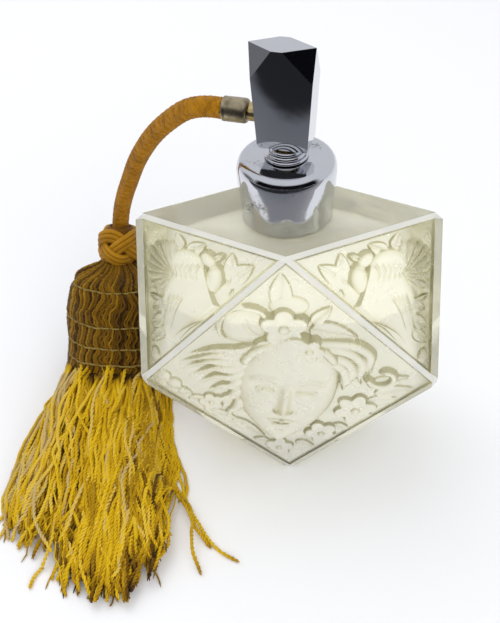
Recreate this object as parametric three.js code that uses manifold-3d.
// A vintage perfume atomiser: a faceted glass bottle, a screw collar with a spray head, and a
// braided hose that leads to a covered squeeze bulb with a tassel. Millimetres, +Z up.
// The origin is the middle of the bottle's base. The front is at -Y and the hose leaves to -X.
import * as THREE from "three";
import { ConvexGeometry } from "three/addons/geometries/ConvexGeometry.js";
import { mergeVertices } from "three/addons/utils/BufferGeometryUtils.js";
import Module from "manifold-3d";

const wasm = await Module();
wasm.setup();

// Driving dimensions

const GAP = 0.3; // clearance left between pieces that touch

// Glass body: a rhombus on top, a wide rectangle at mid height, a smaller rhombus as the base
const GLASS = { top: 40, mid: 41, depth: 19.2, base: 25, floor: 0, middle: 38.5, roof: 82 };
const HOLLOW = { top: 28.5, mid: 35.5, depth: 13.8, base: 14, floor: 7, middle: 38.5, roof: 76 };
const BEVEL = 1.5; // how far each face stops short of its edges
const NECK = { radius: 8.6, bore: 6.6, top: 89 };

// Metal closure on the neck
const RING = { inner: 8.9, root: 9.3, crest: 9.6, low: 82.6, high: 88.6, threads: 3 };
const INSERT = { inner: 9.9, outer: 10.5, low: 83.2, high: 90.4 };
const COLLAR = { rim: 11.8, dome: 12.5, flat: 10.9, inner: 10.85, hole: 4.6, low: 82.4, high: 99.3, wall: 1 };
const SEAL = { inner: 5, outer: 9, low: 89.3, high: 90.3 };
const PLATE = { inner: 3, outer: 9, low: 90.6, high: 92.2 };
const BUSH = { inner: 3, outer: 4.3, foot: 7, low: 92.5, shoulder: 93.7, high: 99 };
const NUT = { inner: 3, low: 99.6, step: 0.75, widest: 5.6, narrowing: 0.8, steps: 3 };
const STEM = { inner: 1.9, outer: 2.7, low: 89.6, high: 107.2 };
const DIP = { inner: 1, outer: 1.6, low: 9, high: 104 };

// Head block: a tapered bar turned a little about the vertical, with its four top corners cut off
const HEAD_TURN = THREE.MathUtils.degToRad(-14);
const BLOCK = {
  low: 102.4, chamfer: 103.9, facet: 120.8, high: 128.1,
  wideLow: 6.2, wideHigh: 7.9, deepLow: 3.9, deepHigh: 3.5, bulge: 0.45, flatHalf: 1.95,
};
const JET_HEIGHT = 110.3; // height of the air and spray passages
const SOCKET = { radius: 1.9, end: 1, channel: 1.2, riser: 0.9, stemBore: 3, stemTop: 107.5 };

// Nozzle side (+X of the head) and hose side (-X of the head), measured along the head's own X
const NOZZLE = { inner: 0.5, outer: 1.6, start: 1.5, end: 6.4 };
const AIR_JET = { inner: 0.35, outer: 0.85, start: -0.8, end: 1.1 };
const NIPPLE = { bore: 0.5, shank: 1.6, collar: 2.3, tail: 1, start: 1.3, face: 7.2, back: 8.8, end: 12.5 };
const FERRULE = { outer: 3.05, nose: 2.6, inner: 2.2, hole: 1.3, front: 9.3, step: 10.3, mouth: 15.6 };

// Hose: a rubber tube in a braided cover
const BRAID = { inner: 2.2, outer: 2.6, sides: 10, steps: 34 };
const TUBE = { inner: 1.3, outer: 1.9, sides: 8, steps: 36 };
// The hose's route from the ferrule to the knot, chosen by hand
const HOSE_ROUTE = [
  [-18.4, 4.6, 110.3], [-21.2, 5.5, 109.8], [-23.9, 7.2, 108.4], [-26.5, 9.3, 106.2],
  [-31.8, 14.1, 100.2], [-35.0, 17.1, 96.0], [-38.1, 20.3, 91.2], [-43.2, 26.1, 81.7],
  [-48.0, 32.0, 70.4], [-51.2, 36.0, 62.3], [-53.6, 38.8, 55.0],
];

// Bulb: its axis starts at the top of the knot and runs down and forward; S is measured along it
const BULB_START = new THREE.Vector3(-54.8, 39.5, 49.7);
const BULB_AXIS = new THREE.Vector3(-0.063, -0.432, -0.9).normalize();
const KNOT = { inner: 3.95, edge: 4.85, outer: 7.5, start: 0.8, end: 13.9, lip: 0.6, fullness: 0.7 };
const RUBBER_WALL = 1.6;
const RUBBER_MOUTH = { neck: 2.2, end: 3 };
// [distance along the axis, outer radius] of the rubber bulb
const RUBBER = [
  [8.5, 3.6], [14.3, 3.6], [16.5, 8.6], [20, 12.4], [25, 14.4],
  [31, 15], [37, 14.6], [42, 12.6], [46, 8.8], [48.8, 4.4],
];
const COVER = { end: 46, radius: 17 };
const COVER_SHOULDER = [[14.3, 6.4], [16, 10.2], [18.2, 14.6]];
const COVER_BELLY = [[23.5, 16.4], [27.5, 16.9]];
const COVER_LINING = [[14.3, 5], [16.2, 9.4], [18.6, 13.3], [24, 15], [30, 15.6], [46, 15.6]];
const ROWS = [19.5, 30.5, 37.5, 43]; // where the stitched bindings run round the cover
const ROW_RADII = [15.7, 17, 17, 17];
const BINDING = { cord: 0.4, groove: 1.1, halfWidth: 0.9 };

// Inlet valve in the free end of the bulb
const VALVE = { outer: 2.7, flange: 4.2, bore: 1.6, hole: 0.8, start: 46.2, lip: 49.3, seat: 49.4, throat: 50.6, end: 51.2 };
const VALVE_BALL = { radius: 1.2, at: 48.75 };
const VALVE_CAP = { inner: 0.7, outer: 2.5, start: 45.2, end: 45.9 };

// Tassel: where its threads lie on the table, as sections across Y from back to front
const FRINGE_SECTIONS = [
  { y: 33, left: -70, right: -46, height: 6 },
  { y: 20, left: -75, right: -42.2, height: 17 },
  { y: 4, left: -77, right: -42.2, height: 19 },
  { y: -8, left: -81, right: -42.2, height: 15 },
  { y: -21, left: -84, right: -42, height: 12 },
  { y: -34, left: -86, right: -29, height: 9.5 },
  { y: -46, left: -78, right: -21, height: 7.5 },
  { y: -57, left: -66, right: -23, height: 5.5 },
  { y: -64, left: -55, right: -36, height: 3 },
];
const FRINGE_SIDES = 14;
const FRINGE_ARCH = 0.6; // how square the arch over each section is
// Room left in the threads for the bulb's end and its valve: [radius, distance along the axis]
const BULB_END_ROOM = [
  [0, 40], [14.4, 40], [14, 43], [10.4, 46], [6.4, 49.2], [4.7, 51], [4.7, 51.7], [0, 51.7],
];
const BEYOND = 60; // larger than the bulb, for cutting away all on one side of it

const ROUND = 28; // segments of a full turn
const SMALL_ROUND = 16;

// Geometry helpers

function solid(geometry) {
  const bare = geometry.clone();
  bare.deleteAttribute("normal");
  bare.deleteAttribute("uv");
  const merged = mergeVertices(bare, 1e-4);
  const mesh = new wasm.Mesh({
    numProp: 3,
    vertProperties: merged.attributes.position.array,
    triVerts: new Uint32Array(merged.index.array),
  });
  return new wasm.Manifold(mesh);
}

function geometryOf(manifold) {
  const mesh = manifold.getMesh();
  const geometry = new THREE.BufferGeometry();
  geometry.setAttribute("position", new THREE.BufferAttribute(mesh.vertProperties, 3));
  geometry.setIndex(new THREE.BufferAttribute(mesh.triVerts, 1));
  return geometry;
}

// A closed profile of [radius, height] points turned round +Z.
function lathe(profile, segments = ROUND) {
  const points = profile.map(([r, z]) => new THREE.Vector2(r, z));
  return new THREE.LatheGeometry(points, segments).rotateX(Math.PI / 2);
}

// A ring whose cross-section is the rectangle between two radii and two heights.
function ring(inner, outer, low, high, segments = ROUND) {
  return lathe([[inner, low], [outer, low], [outer, high], [inner, high], [inner, low]], segments);
}

function rod(radius, low, high, segments = SMALL_ROUND) {
  return lathe([[0, low], [radius, low], [radius, high], [0, high]], segments);
}

// Turns a piece made round +Z so that it runs along +X (sign 1) or -X (sign -1) at the jet's height.
function alongX(geometry, sign) {
  geometry.rotateY((sign * Math.PI) / 2);
  return geometry.translate(0, 0, JET_HEIGHT);
}

// The corner of a face moved inwards by the bevel along both of its edges.
function insetCorner(previous, corner, next, distance) {
  const back = previous.clone().sub(corner).normalize();
  const ahead = next.clone().sub(corner).normalize();
  const reach = distance / Math.sin(back.angleTo(ahead));
  return corner.clone().addScaledVector(back, reach).addScaledVector(ahead, reach);
}

// The faceted body between a floor and a roof, with every edge bevelled where bevel is not 0.
function facetedBody(size, bevel) {
  const at = (x, y, z) => new THREE.Vector3(x, y, z);
  const faces = [];
  const top = (sx, sy) => at(sx * size.top, sy * size.depth, size.roof);
  const base = (sx, sy) => at(sx * size.base, sy * size.depth, size.floor);
  const mid = (sx, sy) => at(sx * size.mid, sy * size.depth, size.middle);
  faces.push([top(-1, 0), top(0, -1), top(1, 0), top(0, 1)]);
  faces.push([base(-1, 0), base(0, -1), base(1, 0), base(0, 1)]);
  for (const sy of [-1, 1]) {
    faces.push([top(0, sy), mid(-1, sy), base(0, sy), mid(1, sy)]);
    for (const sx of [-1, 1]) {
      faces.push([top(sx, 0), mid(sx, sy), top(0, sy)]);
      faces.push([base(sx, 0), mid(sx, sy), base(0, sy)]);
    }
  }
  for (const sx of [-1, 1]) {
    faces.push([top(sx, 0), mid(sx, -1), mid(sx, 1)]);
    faces.push([base(sx, 0), mid(sx, -1), mid(sx, 1)]);
  }
  const points = [];
  for (const face of faces) {
    face.forEach((corner, i) => {
      const previous = face[(i + face.length - 1) % face.length];
      const next = face[(i + 1) % face.length];
      points.push(bevel ? insetCorner(previous, corner, next, bevel) : corner);
    });
  }
  return new ConvexGeometry(points);
}

// Sub-parts

function glassBottle() {
  const body = solid(facetedBody(GLASS, BEVEL));
  const neck = solid(rod(NECK.radius, GLASS.roof - 2, NECK.top, ROUND));
  const hollow = solid(facetedBody(HOLLOW, 0));
  const bore = solid(rod(NECK.bore, HOLLOW.roof - 2, NECK.top + 1, ROUND));
  return geometryOf(body.add(neck).subtract(hollow).subtract(bore));
}

function neckRing() {
  const profile = [[RING.inner, RING.low], [RING.root, RING.low]];
  const pitch = (RING.high - RING.low) / (RING.threads + 1);
  for (let i = 1; i <= RING.threads; i++) {
    const z = RING.low + i * pitch;
    profile.push([RING.root, z - pitch / 3], [RING.crest, z], [RING.root, z + pitch / 3]);
  }
  profile.push([RING.root, RING.high], [RING.inner, RING.high], [RING.inner, RING.low]);
  return lathe(profile);
}

function collarShell() {
  const { rim, dome, flat, inner, hole, low, high, wall } = COLLAR;
  const round = dome - flat;
  const profile = [[inner, low], [rim, low], [rim + 0.25, low + 0.4], [dome, high - 3.4]];
  for (let i = 0; i <= 5; i++) {
    const t = (i / 5) * (Math.PI / 2);
    profile.push([flat + round * Math.cos(t), high - 2 + 2 * Math.sin(t)]);
  }
  profile.push([hole, high], [hole, high - wall]);
  profile.push([inner - 1, high - wall], [inner, high - wall - 1.6], [inner, low]);
  return lathe(profile, 36);
}

function stemNut() {
  const profile = [[NUT.inner, NUT.low]];
  for (let i = 0; i < NUT.steps; i++) {
    const radius = NUT.widest - i * NUT.narrowing;
    profile.push([radius, NUT.low + i * NUT.step], [radius - 0.2, NUT.low + (i + 1) * NUT.step]);
  }
  profile.push([NUT.inner, NUT.low + NUT.steps * NUT.step], [NUT.inner, NUT.low]);
  return lathe(profile);
}

function swivelBush() {
  const { inner, outer, foot, low, shoulder, high } = BUSH;
  return lathe([[inner, low], [foot, low], [foot, shoulder], [outer, shoulder], [outer, high], [inner, high], [inner, low]]);
}

// Half width and half depth of the head block at a height.
function blockHalf(z) {
  const k = (z - BLOCK.low) / (BLOCK.high - BLOCK.low);
  return {
    wide: THREE.MathUtils.lerp(BLOCK.wideLow, BLOCK.wideHigh, k),
    deep: THREE.MathUtils.lerp(BLOCK.deepLow, BLOCK.deepHigh, k),
  };
}

function headBlock() {
  const points = [];
  const columns = [-1, -0.5, 0, 0.5, 1];
  for (const z of [BLOCK.chamfer, BLOCK.facet]) {
    const { wide, deep } = blockHalf(z);
    for (const u of columns) {
      const out = deep + BLOCK.bulge * (1 - u * u);
      points.push(new THREE.Vector3(u * wide, out, z), new THREE.Vector3(u * wide, -out, z));
    }
  }
  const top = blockHalf(BLOCK.high);
  for (const sx of [-1, 1]) {
    points.push(new THREE.Vector3(sx * top.wide, 0, BLOCK.high));
    for (const sy of [-1, 1]) {
      points.push(new THREE.Vector3(sx * BLOCK.flatHalf, sy * (top.deep + BLOCK.bulge * 0.94), BLOCK.high));
      points.push(new THREE.Vector3(sx * (BLOCK.wideLow - 0.3), sy * (BLOCK.deepLow - 0.9), BLOCK.low));
    }
  }
  const { radius, end, channel, riser, stemBore, stemTop } = SOCKET;
  const cuts = [
    alongX(rod(radius, end, 12), 1),
    alongX(rod(radius, end, 12), -1),
    alongX(rod(channel, -end - 0.5, end + 0.5), 1),
    rod(riser, BLOCK.low, JET_HEIGHT),
    rod(stemBore, BLOCK.low - 1, stemTop),
  ];
  return geometryOf(cuts.reduce((block, cut) => block.subtract(solid(cut)), solid(new ConvexGeometry(points))));
}

function hoseNipple() {
  const { bore, shank, collar, tail, start, face, back, end } = NIPPLE;
  const profile = [
    [bore, start], [shank, start], [shank, face], [collar, face], [collar, back],
    [tail, back], [tail, end], [bore, end], [bore, start],
  ];
  return alongX(lathe(profile, SMALL_ROUND), -1);
}

function hoseFerrule() {
  const { outer, nose, inner, hole, front, step, mouth } = FERRULE;
  const profile = [
    [hole, front], [nose, front], [outer, front + 0.7], [outer, mouth], [inner, mouth],
    [inner, step], [hole, step], [hole, front],
  ];
  return alongX(lathe(profile, 24), -1);
}

const hoseAxis = new THREE.Vector3(-Math.cos(HEAD_TURN), -Math.sin(HEAD_TURN), 0);

function onHoseAxis(distance) {
  return hoseAxis.clone().multiplyScalar(distance).setZ(JET_HEIGHT);
}

function onBulbAxis(s) {
  return BULB_START.clone().addScaledVector(BULB_AXIS, s);
}

// The hose's centre line between two distances: along the ferrule at its start, along the bulb at its end.
function hoseCurve(start, end) {
  const route = HOSE_ROUTE.map((p) => new THREE.Vector3(...p));
  const points = [onHoseAxis(start), ...route, onBulbAxis(0.5), onBulbAxis(end)];
  if (start < FERRULE.mouth) points.splice(1, 0, onHoseAxis(FERRULE.mouth));
  if (end > 6) points.splice(points.length - 1, 0, onBulbAxis(end / 2));
  return new THREE.CatmullRomCurve3(points, false, "centripetal");
}

function hollowTube(curve, { inner, outer, sides, steps }) {
  const outline = (radius) =>
    Array.from({ length: sides }, (_, i) => {
      const t = (i / sides) * 2 * Math.PI;
      return new THREE.Vector2(radius * Math.cos(t), radius * Math.sin(t));
    });
  const section = new THREE.Shape(outline(outer));
  section.holes.push(new THREE.Path(outline(inner)));
  return new THREE.ExtrudeGeometry(section, { steps, extrudePath: curve, curveSegments: 1 });
}

function cordKnot() {
  const { inner, edge, outer, start, end, lip, fullness } = KNOT;
  const middle = (start + end) / 2;
  const steps = 8;
  const profile = [[inner, start + lip]];
  for (let i = 0; i <= steps; i++) {
    const t = (i / steps) * Math.PI;
    const radius = edge + (outer - edge) * Math.sin(t) ** fullness;
    profile.push([radius, middle - ((end - start) / 2) * Math.cos(t)]);
  }
  profile.push([inner, end - lip], [inner, start + lip]);
  return lathe(profile, 24);
}

function rubberBulb() {
  const { neck, end } = RUBBER_MOUTH;
  const first = RUBBER[0][0];
  const last = RUBBER[RUBBER.length - 1][0];
  const outside = RUBBER.map(([s, r]) => [r, s]);
  const inside = RUBBER.slice(1, -1).map(([s, r]) => [Math.max(r - RUBBER_WALL, neck), s]).reverse();
  return lathe([[neck, first], ...outside, [end, last], [end, last - RUBBER_WALL], ...inside, [neck, first]]);
}

// The outer radius of the bulb's cover at a distance along the axis, without its grooves.
function coverOutline() {
  const outline = [...COVER_SHOULDER];
  ROWS.forEach((row, i) => {
    const radius = ROW_RADII[i];
    const w = BINDING.halfWidth;
    outline.push([row - w, radius], [row - w * 0.6, radius - BINDING.groove]);
    outline.push([row + w * 0.6, radius - BINDING.groove], [row + w, radius]);
    if (i === 0) outline.push(...COVER_BELLY);
  });
  outline.push([COVER.end, COVER.radius]);
  return outline;
}

function bulbCover() {
  const outside = coverOutline().map(([s, r]) => [r, s]);
  const inside = COVER_LINING.map(([s, r]) => [r, s]).reverse();
  return lathe([...outside, ...inside, outside[0]], 32);
}

function binding(index) {
  const radius = ROW_RADII[index] - BINDING.groove + GAP + BINDING.cord;
  return new THREE.TorusGeometry(radius, BINDING.cord, 6, 32).translate(0, 0, ROWS[index]);
}

function valveBody() {
  const { outer, flange, bore, hole, start, lip, seat, throat, end } = VALVE;
  const profile = [
    [bore, start], [outer, start], [outer, lip], [flange, lip], [flange, end], [hole, end],
    [hole, throat], [bore, seat], [bore, start],
  ];
  return lathe(profile, SMALL_ROUND);
}

// One section of the fringe: a flat underside on the table and a low arch over it.
function fringeSection({ y, left, right, height }) {
  const points = [];
  for (let i = 0; i < FRINGE_SIDES; i++) {
    const t = (i / (FRINGE_SIDES - 1)) * Math.PI;
    const x = (left + right) / 2 - ((right - left) / 2) * Math.cos(t);
    points.push(new THREE.Vector3(x, y, height * Math.sin(t) ** FRINGE_ARCH));
  }
  return points;
}

function fringeHull() {
  const sections = FRINGE_SECTIONS.map(fringeSection);
  let pile = null;
  for (let i = 0; i + 1 < sections.length; i++) {
    const piece = solid(new ConvexGeometry([...sections[i], ...sections[i + 1]]));
    pile = pile ? pile.add(piece) : piece;
  }
  return pile;
}

// A piece built round +Z in terms of S, moved onto the bulb's axis.
function ontoBulb(geometry) {
  const turn = new THREE.Quaternion().setFromUnitVectors(new THREE.Vector3(0, 0, 1), BULB_AXIS);
  return geometry.applyQuaternion(turn).translate(BULB_START.x, BULB_START.y, BULB_START.z);
}

// The threads fill the pile on the table, except for the cover, the bulb's end and its valve.
function tasselFringe() {
  const above = solid(ontoBulb(rod(BEYOND, -BEYOND, COVER.end + GAP, ROUND)));
  const end = solid(ontoBulb(lathe(BULB_END_ROOM)));
  return geometryOf(fringeHull().subtract(above).subtract(end));
}

// Assembly

const group = new THREE.Group();
const head = new THREE.Group();
head.rotation.z = HEAD_TURN;
group.add(head);

function material(color, roughness, metalness) {
  return new THREE.MeshStandardMaterial({ color, roughness, metalness });
}

function add(parent, name, geometry, look) {
  const mesh = new THREE.Mesh(geometry, material(...look));
  mesh.name = name;
  parent.add(mesh);
}

const GLASS_LOOK = ["#dcdcc4", 0.25, 0];
const CHROME = ["#b9bcc4", 0.12, 1];
const BRASS = ["#a08a55", 0.35, 1];
const RUBBER_LOOK = ["#3a332b", 0.8, 0];
const SILK = ["#a5761f", 0.7, 0];
const FRINGE_LOOK = ["#b8932c", 0.75, 0];

add(group, "glass_bottle", glassBottle(), GLASS_LOOK);
add(group, "neck_ring", neckRing(), BRASS);
add(group, "sealing_washer", ring(SEAL.inner, SEAL.outer, SEAL.low, SEAL.high), ["#6b4a2e", 0.9, 0]);
add(group, "collar_shell", collarShell(), CHROME);
add(group, "collar_thread_insert", ring(INSERT.inner, INSERT.outer, INSERT.low, INSERT.high), BRASS);
add(group, "head_plate", ring(PLATE.inner, PLATE.outer, PLATE.low, PLATE.high), BRASS);
add(group, "swivel_bush", swivelBush(), BRASS);
add(group, "stem_nut", stemNut(), CHROME);
add(group, "stem_tube", ring(STEM.inner, STEM.outer, STEM.low, STEM.high, 20), BRASS);
add(group, "dip_tube", ring(DIP.inner, DIP.outer, DIP.low, DIP.high, 12), ["#e8e6dc", 0.4, 0]);

add(head, "head_block", headBlock(), CHROME);
add(head, "spray_nozzle", alongX(ring(NOZZLE.inner, NOZZLE.outer, NOZZLE.start, NOZZLE.end, SMALL_ROUND), 1), CHROME);
add(head, "air_jet", alongX(ring(AIR_JET.inner, AIR_JET.outer, AIR_JET.start, AIR_JET.end, 12), 1), BRASS);
add(head, "hose_nipple", hoseNipple(), BRASS);
add(head, "hose_ferrule", hoseFerrule(), BRASS);

add(group, "hose_tube", hollowTube(hoseCurve(FERRULE.step + GAP, 10.5), TUBE), RUBBER_LOOK);
add(group, "hose_braid", hollowTube(hoseCurve(FERRULE.mouth + GAP, 4), BRAID), ["#b57a1c", 0.6, 0]);

add(group, "cord_knot", ontoBulb(cordKnot()), SILK);
add(group, "rubber_bulb", ontoBulb(rubberBulb()), RUBBER_LOOK);
add(group, "bulb_cover", ontoBulb(bulbCover()), SILK);
ROWS.forEach((_, i) => add(group, "cover_binding_" + (i + 1), ontoBulb(binding(i)), FRINGE_LOOK));
add(group, "inlet_valve_body", ontoBulb(valveBody()), BRASS);
add(group, "valve_ball", ontoBulb(new THREE.SphereGeometry(VALVE_BALL.radius, 12, 8).translate(0, 0, VALVE_BALL.at)), CHROME);
add(group, "valve_cap", ontoBulb(ring(VALVE_CAP.inner, VALVE_CAP.outer, VALVE_CAP.start, VALVE_CAP.end, SMALL_ROUND)), BRASS);
add(group, "tassel_fringe", tasselFringe(), FRINGE_LOOK);

export default group;
